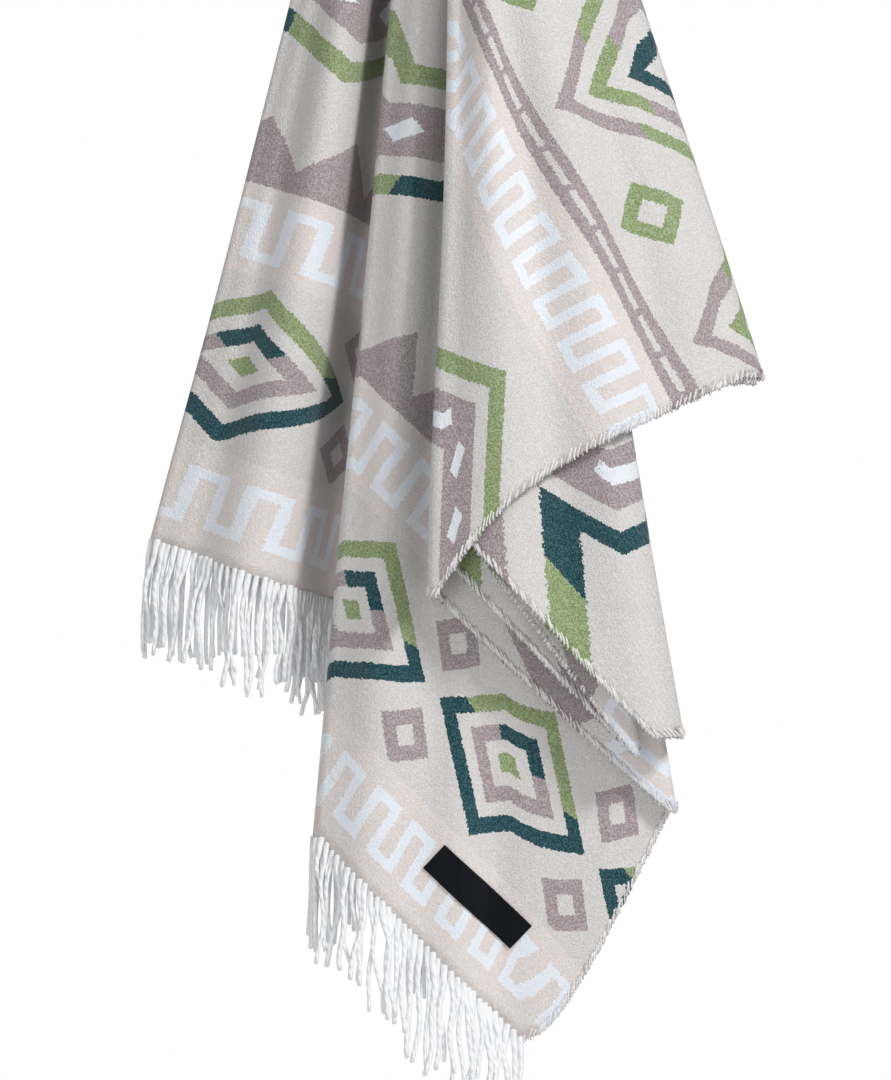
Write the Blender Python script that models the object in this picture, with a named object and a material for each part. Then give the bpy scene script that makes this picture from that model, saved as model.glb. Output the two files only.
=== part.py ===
"""A fringed woven throw that hangs from the middle of its cloth.

Metres, +Z up. The origin is the hanging point at the top. The camera side is -Y.
The cloth hangs as a pleated cone: every line from its middle to its edge is a straight
ray, and the table of folds says how the rays lie side by side, from the front flap
round the back and to the flap again.
"""

import math
from collections import namedtuple

import bmesh
import bpy
from mathutils import Vector

CLOTH_WIDTH = 1.27
CLOTH_LENGTH = 1.524
CLOTH_THICKNESS = 0.002
HALF_WIDTH = CLOTH_WIDTH / 2
HALF_LENGTH = CLOTH_LENGTH / 2
CORNER_ANGLE = math.degrees(math.atan2(HALF_WIDTH, HALF_LENGTH))

NECK_RADIUS = 0.040
LAYER_PITCH_AT_TOP = 0.003
LEAST_ROUND_AT_TOP = 0.7
RING_COUNT = 8
STEP_DOWN = 0.006
NEARLY_ZERO = 1e-6

GATHER_MIDDLE = (0.005, 0.0)
GATHER_HALF_SIZE = (0.0215, 0.0425)
GATHER_LEVELS = ((0.0, 0.10), (-0.002, 0.34), (-0.007, 0.60), (-0.016, 0.80), (-0.030, 0.93),
                 (-0.050, 1.0), (-0.066, 0.90))
GATHER_SIDES = 44
GATHER_FLUTES = 11
FLUTE_SHARE = 0.05

PIECE_GAP = 0.0003
HEADING_HEIGHT = 0.006
STRAND_WIDTH = 0.003
STRAND_TIP_SHARE = 0.75
STRAND_LENGTH = 0.066
STRAND_UNEVEN = 0.010
UNEVEN_STEP = 2.4
STRAND_SWAY = 0.0008
SWAY_STEP = 1.7
STRAND_STEPS = 2
SHOWN_PITCH = 0.0058
HIDDEN_PITCH = 0.0165
PITCH_BY_FOLD = {"main panel, fringed side": SHOWN_PITCH, "left panel": SHOWN_PITCH}

LABEL_LENGTH = 0.079
LABEL_WIDTH = 0.021
LABEL_THICKNESS = 0.0008
LABEL_LIFT = 0.0006
LABEL_MIDDLE = (0.0248, -0.9755)
LABEL_SLOPE = math.radians(-43.1)
LABEL_PANEL = 6
LABEL_COLUMNS = 5
LABEL_ROWS = 2

CREAM_WOOL = (0.72, 0.66, 0.60)
WHITE_YARN = (0.79, 0.81, 0.80)
DARK_WOVEN = (0.006, 0.007, 0.012)

# Each row is one pass of cloth. It starts at its fold, at a cloth angle from the middle
# of the fringed end and at an angle in the view from the front, and it ends where the
# next row starts. Layer is its place in the stack, front to back. The two depths, at 1 m
# below the top, are those of its start and its end, and bow and wave bend it between
# them. Turn and top_turn are how far the fold at its end reaches out, at 1 m and at the
# top. Slack is the share of its reach that a pass loses between its two ends.
COLUMN_NAMES = ("name layer cloth stretch view depth end_depth bow wave columns turn top_turn"
                " slack")
Fold = namedtuple("Fold", COLUMN_NAMES)
C = CORNER_ANGLE
FOLDS = [Fold(*row) for row in (
    ("front flap", 0, 73.5, 1.00, 17.6, -0.070, -0.125, -0.016, 0.005, 9, 0.005, 0.0045, 0.062),
    ("lowest stacked fold", 5, 55.0, 1.00, -0.1, -0.062, -0.060, 0, 0, 3, 0.004, 0.0015, 0),
    ("main panel, selvedge side", 6, 46.3, 1.06, 9.5, -0.045, -0.045, -0.003, 0, 4, 0, 0, -0.03),
    ("main panel, fringed side", 6, C, 1.081, 3.0, -0.045, -0.045, -0.005, 0, 5, 0.006, 0.0015, 0),
    ("turn behind the main panel", 7, 32.5, 1.042, -4.7, -0.018, -0.018, 0, 0, 2, 0.005, 0.0015, 0),
    ("hidden side of the left panel", 8, 23.0, 1.00, 4.5, -0.008, 0.006, 0, 0, 3, 0, 0, 0),
    ("left panel", 8, 14.0, 1.00, -4.9, 0.006, 0.022, -0.006, 0.005, 8, 0.006, 0.0015, 0),
    ("behind the left panel", 9, 4.4, 1.00, -14.4, 0.034, 0.006, 0, 0, 3, 0.004, 0.0015, 0),
    ("inner fold 2", 10, -12.0, 1.00, 2.0, 0.016, 0.023, 0, 0, 2, 0.003, 0.0015, 0),
    ("inner fold 3", 11, -20.0, 1.00, -4.2, 0.029, 0.027, 0, 0, 2, 0.003, 0.0015, 0),
    ("inner fold 4", 12, -31.0, 1.00, 8.2, 0.033, 0.034, 0, 0, 2, 0.003, 0.0015, 0),
    ("inner fold 5", 13, -C, 1.00, 2.5, 0.040, 0.039, 0, 0, 2, 0.003, 0.0015, 0),
    ("inner fold 6", 14, -48.0, 1.00, 8.4, 0.045, 0.046, 0, 0, 2, 0.003, 0.0015, 0),
    ("inner fold 7", 15, -62.0, 1.00, -4.2, 0.053, 0.051, 0, 0, 2, 0.003, 0.0015, 0),
    ("inner fold 8", 16, -84.0, 1.00, 8.5, 0.057, 0.072, 0, 0, 3, 0.005, 0.0015, 0),
    ("inner fold 9", 17, -108.0, 1.00, -13.2, 0.084, 0.066, 0, 0, 3, 0.003, 0.0015, 0),
    ("inner fold 10", 18, -128.0, 1.00, 5.0, 0.073, 0.080, 0, 0, 2, 0.003, 0.0015, 0),
    ("inner fold 11", 19, C - 180, 1.00, -1.0, 0.087, 0.085, 0, 0, 2, 0.003, 0.0015, 0),
    ("inner fold 12", 20, -156.0, 1.00, 8.2, 0.091, 0.094, 0, 0, 2, 0.003, 0.0015, 0),
    ("inner fold 13", 21, -180.0, 1.00, -4.0, 0.101, 0.098, 0, 0, 2, 0.003, 0.0015, 0),
    ("inner fold 14", 22, -204.0, 1.00, 8.3, 0.105, 0.106, 0, 0, 2, 0.003, 0.0015, 0),
    ("inner fold 15", 23, -180 - C, 1.00, 2.0, 0.113, 0.112, 0, 0, 2, 0.020, 0.0048, 0),
    ("hidden stacked fold", 4, -229.0, 0.99, 8.9, -0.074, -0.074, 0, 0, 3, 0.004, 0.0015, 0),
    ("third stacked fold", 3, -237.0, 0.995, 0.6, -0.084, -0.084, 0, 0, 3, 0.004, 0.0015, 0),
    ("second stacked fold", 2, -228.8, 1.053, 8.3, -0.094, -0.096, 0, 0, 3, 0.004, 0.0015, 0),
    ("first stacked fold", 1, -238.3, 0.99, 1.5, -0.107, -0.103, 0, 0, 3, 0.0205, 0.0085, 0),
    ("back panel, inner side", 24, -229.0, 1.045, 9.2, 0.124, 0.118, 0, 0, 3, 0.005, 0.0015, 0),
    ("back panel", 25, -250.0, 1.00, -9.0, 0.130, 0.105, 0.022, 0.006, 8, 0.016, 0.0120, 0),
)]
# The folds that turn round a side of the bundle, as shares of the way round and of the
# turn.
ONE_ROUND = ((0.5, 1.0),)
SIDE_ROUNDS = {
    "front flap": ((0.06, 1.0), (0.35, 1.0), (0.65, 1.0), (0.94, 1.0)),
    "inner fold 15": ((0.04, 0.9), (0.3, 1.0), (0.6, 0.8), (0.96, 1.0)),
    "first stacked fold": ((0.04, 1.0), (0.2, 1.1), (0.45, 0.85), (0.7, 1.15), (0.96, 1.0)),
    "back panel": ((0.05, 0.9), (0.18, 1.0), (0.34, 0.2), (0.46, -2.3), (0.54, -2.5), (0.7, 0.1),
                   (0.84, 1.0), (0.95, 0.8)),
}
FIRST_END = (C, -C)
SECOND_END = (C - 180, -180 - C)

Ray = namedtuple("Ray", "cloth reach view top_x side_x top_y depth fold")


def blend(start, end, share):
    return start + (end - start) * share


def cloth_reach(cloth_angle, stretch):
    """Distance along the cloth from its middle to its edge."""
    turn = math.radians(cloth_angle)
    to_fringe = HALF_LENGTH / max(abs(math.cos(turn)), NEARLY_ZERO)
    to_selvedge = HALF_WIDTH / max(abs(math.sin(turn)), NEARLY_ZERO)
    return min(to_fringe, to_selvedge) * stretch


def stack_depth(layer):
    """Depth of a layer where the cloth is drawn together at the top."""
    middle = max(fold.layer for fold in FOLDS) / 2
    return (layer - middle) * LAYER_PITCH_AT_TOP


def pass_rays(index):
    """The rays of one pass of cloth, without the turn that follows it."""
    fold = FOLDS[index]
    after = FOLDS[(index + 1) % len(FOLDS)]
    end_cloth = after.cloth if index + 1 < len(FOLDS) else after.cloth - 360
    joined = after.layer == fold.layer
    rays = []
    for step in range(fold.columns + (0 if joined else 1)):
        share = step / fold.columns
        bow = (fold.bow * math.sin(math.pi * share)
               + fold.wave * math.sin(3 * math.pi * share))
        cloth = blend(fold.cloth, end_cloth, share)
        stretch = (blend(fold.stretch, after.stretch, share)
                   * (1 - fold.slack * (share - share ** 6)))
        rays.append(Ray(cloth, cloth_reach(cloth, stretch), blend(fold.view, after.view, share),
                        0.0, 0.0, stack_depth(fold.layer),
                        blend(fold.depth, fold.end_depth, share) + bow, index))
    return rays


def turn_rays(index):
    """The rays round the fold between a pass and the next one."""
    fold = FOLDS[index]
    after = FOLDS[(index + 1) % len(FOLDS)]
    if after.layer == fold.layer:
        return []
    cloth = after.cloth if index + 1 < len(FOLDS) else after.cloth - 360
    outward = 1 if after.view > fold.view else -1
    top_near, top_far = stack_depth(fold.layer), stack_depth(after.layer)
    near, far = fold.end_depth, after.depth
    rays = []
    for share, reach_out in SIDE_ROUNDS.get(fold.name, ONE_ROUND):
        top_out = fold.top_turn * max(reach_out, LEAST_ROUND_AT_TOP)
        rays.append(Ray(cloth, cloth_reach(cloth, after.stretch), after.view,
                        outward * top_out, outward * fold.turn * reach_out,
                        blend(top_near, top_far, share), blend(near, far, share), index))
    return rays


def all_rays():
    rays = []
    for index in range(len(FOLDS)):
        rays.extend(pass_rays(index))
        rays.extend(turn_rays(index))
    return rays


def ray_point(ray, radius):
    view = math.radians(ray.view)
    return Vector((radius * math.sin(view) + blend(ray.top_x, ray.side_x, radius),
                   blend(ray.top_y, ray.depth, radius),
                   -radius * math.cos(view)))


def outward_normals(points, lower, turning):
    """Level normals along a line of points. Those beside a turn stay square to their pass."""
    normals = []
    for index, point in enumerate(points):
        down = (lower[index] - point).normalized()
        mean = Vector()
        for near, far in ((index - 1, index), (index, index + 1)):
            near, far = near % len(points), far % len(points)
            other = far if near == index else near
            if turning[other] and not turning[index]:
                continue
            mean += down.cross(points[far] - points[near]).normalized()
        normals.append(mean.normalized())
    return normals


def ring_points(rays, share, offset):
    """One closed ring of the cloth, moved outwards by an offset."""
    radii = [blend(NECK_RADIUS, ray.reach, share) for ray in rays]
    centres = [ray_point(ray, radius) for ray, radius in zip(rays, radii)]
    lower = [ray_point(ray, radius + STEP_DOWN) for ray, radius in zip(rays, radii)]
    normals = outward_normals(centres, lower, [ray.side_x != 0 for ray in rays])
    return [centre + normal * offset for centre, normal in zip(centres, normals)]


def new_object(name, mesh_builder, colour, roughness):
    mesh = bpy.data.meshes.new(name)
    work = bmesh.new()
    mesh_builder(work)
    bmesh.ops.recalc_face_normals(work, faces=work.faces)
    work.to_mesh(mesh)
    work.free()
    piece = bpy.data.objects.new(name, mesh)
    bpy.context.scene.collection.objects.link(piece)
    material = bpy.data.materials.new(name + "_cloth")
    material.use_nodes = True
    shader = material.node_tree.nodes["Principled BSDF"]
    shader.inputs["Base Color"].default_value = (*colour, 1.0)
    shader.inputs["Roughness"].default_value = roughness
    shader.inputs["Metallic"].default_value = 0.0
    mesh.materials.append(material)
    return piece


def build_hanging_sheet(work):
    """The pleated cloth from its neck down to its hems and selvedges."""
    rays = all_rays()
    grids = []
    for offset in (CLOTH_THICKNESS / 2, -CLOTH_THICKNESS / 2):
        grid = []
        for ring in range(RING_COUNT + 1):
            points = ring_points(rays, ring / RING_COUNT, offset)
            grid.append([work.verts.new(point) for point in points])
        grids.append(grid)
    outer, inner = grids
    count = len(rays)
    for column in range(count):
        beside = (column + 1) % count
        for ring in range(RING_COUNT):
            work.faces.new((outer[ring][column], outer[ring][beside],
                            outer[ring + 1][beside], outer[ring + 1][column]))
            work.faces.new((inner[ring][beside], inner[ring][column],
                            inner[ring + 1][column], inner[ring + 1][beside]))
        work.faces.new((outer[0][beside], outer[0][column], inner[0][column], inner[0][beside]))
        work.faces.new((outer[-1][column], outer[-1][beside],
                        inner[-1][beside], inner[-1][column]))


def build_gather(work):
    """The rounded top where the middle of the cloth is drawn together."""
    middle_x, middle_y = GATHER_MIDDLE
    half_x, half_y = GATHER_HALF_SIZE
    rings = []
    for height, size in GATHER_LEVELS:
        ring = []
        for side in range(GATHER_SIDES):
            turn = 2 * math.pi * side / GATHER_SIDES
            flute = 1 + FLUTE_SHARE * size * math.cos(GATHER_FLUTES * turn)
            ring.append(work.verts.new((middle_x + half_x * size * flute * math.cos(turn),
                                        middle_y + half_y * size * flute * math.sin(turn),
                                        height)))
        rings.append(ring)
    for upper, lower in zip(rings, rings[1:]):
        for side in range(GATHER_SIDES):
            beside = (side + 1) % GATHER_SIDES
            work.faces.new((upper[side], lower[side], lower[beside], upper[beside]))
    work.faces.new(rings[0])
    work.faces.new(reversed(rings[-1]))


def make_cloth():
    """The sheet and its rounded top, joined into one cloth."""
    cloth = new_object("blanket_cloth", build_hanging_sheet, CREAM_WOOL, 0.9)
    gather = new_object("gather_top", build_gather, CREAM_WOOL, 0.9)
    gather.hide_render = True
    gather.display_type = "WIRE"
    join = cloth.modifiers.new("gather", "BOOLEAN")
    join.operation = "UNION"
    join.solver = "EXACT"
    join.object = gather


def hem_rays(end):
    """The cloth's rays along one fringed end, corner to corner."""
    first, last = end
    return [ray for ray in all_rays()
            if last - NEARLY_ZERO <= ray.cloth <= first + NEARLY_ZERO]


def hem_point(rays, place, drop):
    """A point below the hem, part of the way from one ray to the next."""
    index, share = place
    beside = min(index + 1, len(rays) - 1)
    near = ray_point(rays[index], rays[index].reach + drop)
    return near.lerp(ray_point(rays[beside], rays[beside].reach + drop), share)


def heading_places(rays):
    """Places along the hem for the heading, and those where a strand starts."""
    places = []
    strands = []
    for index in range(len(rays) - 1):
        places.append((index, 0.0))
        length = (hem_point(rays, (index + 1, 0.0), 0) - hem_point(rays, (index, 0.0), 0)).length
        pitch = PITCH_BY_FOLD.get(FOLDS[rays[index].fold].name, HIDDEN_PITCH)
        in_turn = rays[index].side_x != 0 or rays[index + 1].side_x != 0
        count = 0 if in_turn else int(length / pitch)
        for strand in range(count):
            middle = (strand + 0.5) / count
            half = STRAND_WIDTH / 2 / length
            strands.append(len(places))
            places.append((index, middle - half))
            places.append((index, middle + half))
    places.append((len(rays) - 1, 0.0))
    return places, strands


def add_strand(work, root, along, number):
    """A tapering strand that runs down from a root face of the heading."""
    middle = sum((corner.co for corner in root), Vector()) / len(root)
    length = STRAND_LENGTH + STRAND_UNEVEN * math.sin(UNEVEN_STEP * number) / 2
    sway = STRAND_SWAY * math.sin(SWAY_STEP * number)
    previous = root
    for step in range(1, STRAND_STEPS + 1):
        share = step / STRAND_STEPS
        size = blend(1.0, STRAND_TIP_SHARE, share)
        drop = Vector((sway * share * share, along.y * length * share, -length * share))
        ring = [work.verts.new(middle + (corner.co - middle) * size + drop) for corner in root]
        for side in range(4):
            beside = (side + 1) % 4
            work.faces.new((previous[side], previous[beside], ring[beside], ring[side]))
        previous = ring
    work.faces.new(previous)


def heading_row(work, rays, places, drop, offset):
    """One long edge of the heading. A blank place past each end closes the line."""
    centres = [hem_point(rays, place, drop) for place in places]
    lower = [hem_point(rays, place, drop + STEP_DOWN) for place in places]
    turning = [rays[index].side_x != 0 and share == 0 for index, share in places]
    normals = outward_normals(centres + [Vector()], lower + [Vector()], turning + [True])
    return [work.verts.new(centre + normal * offset)
            for centre, normal in zip(centres, normals)]


def build_fringe(work, end):
    """A narrow heading along the hem, with its strands."""
    rays = hem_rays(end)
    places, strands = heading_places(rays)
    half = CLOTH_THICKNESS / 2
    top_out, top_in, low_out, low_in = (
        heading_row(work, rays, places, drop, offset)
        for drop in (PIECE_GAP, PIECE_GAP + HEADING_HEIGHT) for offset in (half, -half))
    for index in range(len(places) - 1):
        beside = index + 1
        work.faces.new((top_out[index], top_out[beside], low_out[beside], low_out[index]))
        work.faces.new((top_in[beside], top_in[index], low_in[index], low_in[beside]))
        work.faces.new((top_out[beside], top_out[index], top_in[index], top_in[beside]))
        root = (low_out[index], low_out[beside], low_in[beside], low_in[index])
        if index in strands:
            place = places[index]
            along = (hem_point(rays, place, STEP_DOWN) - hem_point(rays, place, 0)) / STEP_DOWN
            add_strand(work, root, along, index)
        else:
            work.faces.new(root)
    for index in (0, -1):
        work.faces.new((top_out[index], low_out[index], low_in[index], top_in[index]))


def panel_point(view, radius):
    """A point of the main panel's middle surface, seen at an angle and a distance."""
    rays = [ray for ray in all_rays() if FOLDS[ray.fold].layer == LABEL_PANEL and ray.side_x == 0]
    for ray, after in zip(rays, rays[1:]):
        if after.view <= view <= ray.view:
            share = (view - ray.view) / (after.view - ray.view)
            return ray_point(ray, radius).lerp(ray_point(after, radius), share)
    raise ValueError("the label lies outside its panel")


def build_label(work):
    """A plain woven patch that lies on the main panel."""
    columns, rows = LABEL_COLUMNS, LABEL_ROWS
    grids = []
    for lift in (LABEL_LIFT, LABEL_LIFT + LABEL_THICKNESS):
        grid = []
        for row in range(rows + 1):
            line = []
            for column in range(columns + 1):
                along = LABEL_LENGTH * (column / columns - 0.5)
                across = LABEL_WIDTH * (row / rows - 0.5)
                x = (LABEL_MIDDLE[0] + along * math.cos(LABEL_SLOPE)
                     - across * math.sin(LABEL_SLOPE))
                z = (LABEL_MIDDLE[1] + along * math.sin(LABEL_SLOPE)
                     + across * math.cos(LABEL_SLOPE))
                depth = panel_point(math.degrees(math.atan2(x, -z)), math.hypot(x, z)).y
                line.append(work.verts.new((x, depth - CLOTH_THICKNESS / 2 - lift, z)))
            grid.append(line)
        grids.append(grid)
    back, front = grids
    for row in range(rows):
        for column in range(columns):
            for grid in grids:
                work.faces.new((grid[row][column], grid[row][column + 1],
                                grid[row + 1][column + 1], grid[row + 1][column]))
    for row in range(rows):
        for column in (0, columns):
            work.faces.new((back[row][column], back[row + 1][column],
                            front[row + 1][column], front[row][column]))
    for column in range(columns):
        for row in (0, rows):
            work.faces.new((back[row][column], back[row][column + 1],
                            front[row][column + 1], front[row][column]))


def clear_scene():
    for thing in list(bpy.data.objects):
        bpy.data.objects.remove(thing, do_unlink=True)


clear_scene()
make_cloth()
for name, end in (("fringe_first_end", FIRST_END), ("fringe_second_end", SECOND_END)):
    new_object(name, lambda work, end=end: build_fringe(work, end), WHITE_YARN, 0.95)
new_object("label", build_label, DARK_WOVEN, 0.75)
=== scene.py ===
import math
import random
from collections import namedtuple
from itertools import accumulate

import bmesh
import bpy
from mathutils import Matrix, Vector, noise


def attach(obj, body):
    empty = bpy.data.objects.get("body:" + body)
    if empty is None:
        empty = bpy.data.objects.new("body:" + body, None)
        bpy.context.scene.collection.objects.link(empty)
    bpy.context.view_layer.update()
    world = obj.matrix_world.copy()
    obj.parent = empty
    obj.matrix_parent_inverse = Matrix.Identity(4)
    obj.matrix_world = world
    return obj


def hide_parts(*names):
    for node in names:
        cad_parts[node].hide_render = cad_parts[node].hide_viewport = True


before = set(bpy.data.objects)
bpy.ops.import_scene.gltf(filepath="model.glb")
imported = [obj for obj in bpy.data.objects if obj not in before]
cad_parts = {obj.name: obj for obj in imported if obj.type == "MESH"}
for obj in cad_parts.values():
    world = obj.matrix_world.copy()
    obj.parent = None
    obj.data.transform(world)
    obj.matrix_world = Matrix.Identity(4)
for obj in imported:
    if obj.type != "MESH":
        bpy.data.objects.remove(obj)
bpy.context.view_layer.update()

# The camera stands level with the middle of the picture, straight in front of the
# throw. The top of the folds and the tips of the fringe lie outside its view, as shown.
VIEW_CENTRE = Vector((0.0036, 0.0, -0.739))
VIEW_HEIGHT = 0.713
CAMERA_DISTANCE = 3.4
FRONT_DEPTH = -0.06
SENSOR_HEIGHT = 24.0

camera_data = bpy.data.cameras.new("camera")
camera_data.sensor_fit = "VERTICAL"
camera_data.sensor_height = SENSOR_HEIGHT
camera_data.lens = SENSOR_HEIGHT * CAMERA_DISTANCE / VIEW_HEIGHT
camera = bpy.data.objects.new("camera", camera_data)
bpy.context.scene.collection.objects.link(camera)
camera.location = VIEW_CENTRE + Vector((0.0, FRONT_DEPTH - CAMERA_DISTANCE, 0.0))
camera.rotation_euler = (math.pi / 2, 0.0, 0.0)
bpy.context.scene.camera = camera
bpy.context.scene.view_settings.view_transform = "Standard"

# The woven cloth: one piece of brushed wool blend, 50 by 60 inches, cut with fringed
# ends and stitched selvedges. It is picked up by its middle, so every line from there to
# the edge hangs as a straight ray and the cloth between the rays falls into pleats.
CLOTH_WIDTH = 1.27
CLOTH_LENGTH = 1.524
CLOTH_THICKNESS = 0.0022
HALF_WIDTH = CLOTH_WIDTH / 2
HALF_LENGTH = CLOTH_LENGTH / 2
CORNER = math.degrees(math.atan2(HALF_WIDTH, HALF_LENGTH))
NECK_RADIUS = 0.040
LAYER_PITCH_AT_TOP = 0.003
ROWS_DOWN = 86
SHOWN_STEP = 0.0075
HIDDEN_STEP = 0.022
STEPS_ROUND_TURN = 5
STEPS_ROUND_SIDE = 18
MEAN_REACH = 0.85

# Each row is one pass of cloth, from its fold to the fold that starts the next row. The
# cloth angle is from the middle of the fringed end and the view angle is from the
# vertical, seen from the front. Stretch is its reach over that of the flat cloth. Depths
# are at 1 m below the top, at its start and end, and bow and wave are added in between.
# Turn and top turn are how far its fold stands out, at 1 m below the top and at the top.
# Slack is the share of its reach that a pass loses between its two ends.
COLUMN_NAMES = "name layer cloth stretch view depth end_depth bow wave turn top_turn slack shown"
Fold = namedtuple("Fold", COLUMN_NAMES)
FOLDS = [Fold(*row) for row in (
    ("front flap", 0, 73.5, 1.00, 17.6, -0.070, -0.125, -0.016, 0.005, 0.005, 0.0045, 0.062, True),
    ("lowest stacked fold", 5, 55.0, 1.00, -0.1, -0.062, -0.060, 0, 0, 0.004, 0.0015, 0, True),
    ("main panel, selvedge", 6, 46.3, 1.06, 9.5, -0.045, -0.045, -0.003, 0, 0, 0, -0.03, True),
    ("main panel, fringe", 6, CORNER, 1.081, 3.0, -0.045, -0.045, -0.005, 0, 0.006, 0.0015, 0, True),
    ("behind the main panel", 7, 32.5, 1.042, -4.7, -0.018, -0.018, 0, 0, 0.005, 0.0015, 0, False),
    ("hidden side of the left panel", 8, 23.0, 1.00, 4.5, -0.008, 0.006, 0, 0, 0, 0, 0, False),
    ("left panel", 8, 14.0, 1.00, -4.9, 0.006, 0.022, -0.006, 0.005, 0.006, 0.0015, 0, True),
    ("behind the left panel", 9, 4.4, 1.00, -14.4, 0.034, 0.006, 0, 0, 0.004, 0.0015, 0, True),
    ("inner fold 2", 10, -12.0, 1.00, 2.0, 0.016, 0.023, 0, 0, 0.003, 0.0015, 0, False),
    ("inner fold 3", 11, -20.0, 1.00, -4.2, 0.029, 0.027, 0, 0, 0.003, 0.0015, 0, False),
    ("inner fold 4", 12, -31.0, 1.00, 8.2, 0.033, 0.034, 0, 0, 0.003, 0.0015, 0, False),
    ("inner fold 5", 13, -CORNER, 1.00, 2.5, 0.040, 0.039, 0, 0, 0.003, 0.0015, 0, False),
    ("inner fold 6", 14, -48.0, 1.00, 8.4, 0.045, 0.046, 0, 0, 0.003, 0.0015, 0, False),
    ("inner fold 7", 15, -62.0, 1.00, -4.2, 0.053, 0.051, 0, 0, 0.003, 0.0015, 0, False),
    ("inner fold 8", 16, -84.0, 1.00, 8.5, 0.057, 0.072, 0, 0, 0.005, 0.0015, 0, False),
    ("inner fold 9", 17, -108.0, 1.00, -13.2, 0.084, 0.066, 0, 0, 0.003, 0.0015, 0, False),
    ("inner fold 10", 18, -128.0, 1.00, 5.0, 0.073, 0.080, 0, 0, 0.003, 0.0015, 0, False),
    ("inner fold 11", 19, CORNER - 180, 1.00, -1.0, 0.087, 0.085, 0, 0, 0.003, 0.0015, 0, False),
    ("inner fold 12", 20, -156.0, 1.00, 8.2, 0.091, 0.094, 0, 0, 0.003, 0.0015, 0, False),
    ("inner fold 13", 21, -180.0, 1.00, -4.0, 0.101, 0.098, 0, 0, 0.003, 0.0015, 0, False),
    ("inner fold 14", 22, -204.0, 1.00, 8.3, 0.105, 0.106, 0, 0, 0.003, 0.0015, 0, False),
    ("inner fold 15", 23, -180 - CORNER, 1.00, 2.0, 0.113, 0.112, 0, 0, 0.020, 0.0048, 0, False),
    ("hidden stacked fold", 4, -229.0, 0.99, 8.9, -0.074, -0.074, 0, 0, 0.004, 0.0015, 0, False),
    ("third stacked fold", 3, -237.0, 0.995, 0.6, -0.084, -0.084, 0, 0, 0.004, 0.0015, 0, True),
    ("second stacked fold", 2, -228.8, 1.053, 8.3, -0.094, -0.096, 0, 0, 0.004, 0.0015, 0, True),
    ("first stacked fold", 1, -238.3, 0.99, 1.5, -0.107, -0.103, 0, 0, 0.0205, 0.0085, 0, True),
    ("back panel, inner side", 24, -229.0, 1.045, 9.2, 0.124, 0.118, 0, 0, 0.005, 0.0015, 0, False),
    ("back panel", 25, -250.0, 1.00, -9.0, 0.130, 0.105, 0.022, 0.006, 0.016, 0.0120, 0, True),
)]

# Where a pass that shows is slacker or tighter than its rays: the weave's angles at its
# start and at its fold. The turns and the hidden passes beside it make up for it.
WOVEN_ANGLES = {
    "front flap": (76.6, 57.2),
    "main panel, selvedge": (48.0, CORNER),
    "main panel, fringe": (CORNER, 30.0),
    "behind the main panel": (29.0, 23.4),
}

# Folds that turn round a side of the bundle: shares of the way round and of the turn.
SIDE_ROUNDS = {
    "front flap": ((0.0, 0.0), (0.06, 1.0), (0.35, 1.0), (0.65, 1.0), (0.94, 1.0), (1.0, 0.0)),
    "inner fold 15": ((0.0, 0.0), (0.04, 0.9), (0.3, 1.0), (0.6, 0.8), (0.96, 1.0), (1.0, 0.0)),
    "first stacked fold": ((0.0, 0.0), (0.04, 1.0), (0.2, 1.1), (0.45, 0.85), (0.7, 1.15),
                           (0.96, 1.0), (1.0, 0.0)),
    "back panel": ((0.0, 0.0), (0.05, 0.9), (0.18, 1.0), (0.34, 0.2), (0.46, -2.3), (0.54, -2.5),
                   (0.7, 0.1), (0.84, 1.0), (0.95, 0.8), (1.0, 0.0)),
}

# Soft creases: the pass, the view angles at the top and at the edge, the
# half width in degrees, the height (negative is a ridge towards the viewer) and the
# distances from the top between which it shows.
Crease = namedtuple("Crease", "layer top_view edge_view half_width height start end")
CREASES = [Crease(*row) for row in (
    (0, -0.1, -0.1, 1.3, 0.014, 0.10, 0.95),
    (0, 3.2, 3.8, 1.5, -0.006, 0.20, 0.90),
    (0, 6.8, 6.4, 1.4, 0.007, 0.30, 0.90),
    (0, 9.8, 10.4, 1.6, -0.006, 0.30, 0.80),
    (0, 13.6, 12.8, 1.4, 0.007, 0.35, 0.80),
    (0, 17.4, 17.6, 1.0, 0.010, 0.20, 0.90),
    (6, -4.7, -4.7, 1.1, 0.012, 0.15, 1.25),
    (6, -2.8, -2.6, 1.0, -0.004, 0.30, 1.25),
    (6, -0.9, -0.6, 1.0, 0.008, 0.20, 0.85),
    (6, 1.0, 0.8, 0.8, -0.005, 0.70, 1.25),
    (6, 2.4, 2.2, 0.7, 0.007, 0.75, 1.25),
    (6, 5.2, 4.6, 1.2, 0.004, 0.90, 1.25),
    (8, -5.5, -5.0, 1.35, 0.058, 0.10, 1.00),
    (8, -9.6, -9.6, 2.0, -0.012, 0.20, 1.10),
    (8, -12.4, -12.2, 1.0, 0.005, 0.30, 1.00),
    (8, -14.4, -14.4, 0.9, 0.010, 0.20, 1.10),
    (22, 3.0, 3.5, 1.6, 0.010, 0.30, 0.90),
    (22, -3.0, -3.6, 1.4, -0.008, 0.30, 0.90),
    (22, 11.0, 10.5, 1.6, -0.009, 0.30, 0.90),
)]
CREASE_STARTS_OVER = 0.25
CREASE_ENDS_OVER = 0.1
LAYERS_THAT_FOLLOW = 17

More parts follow.
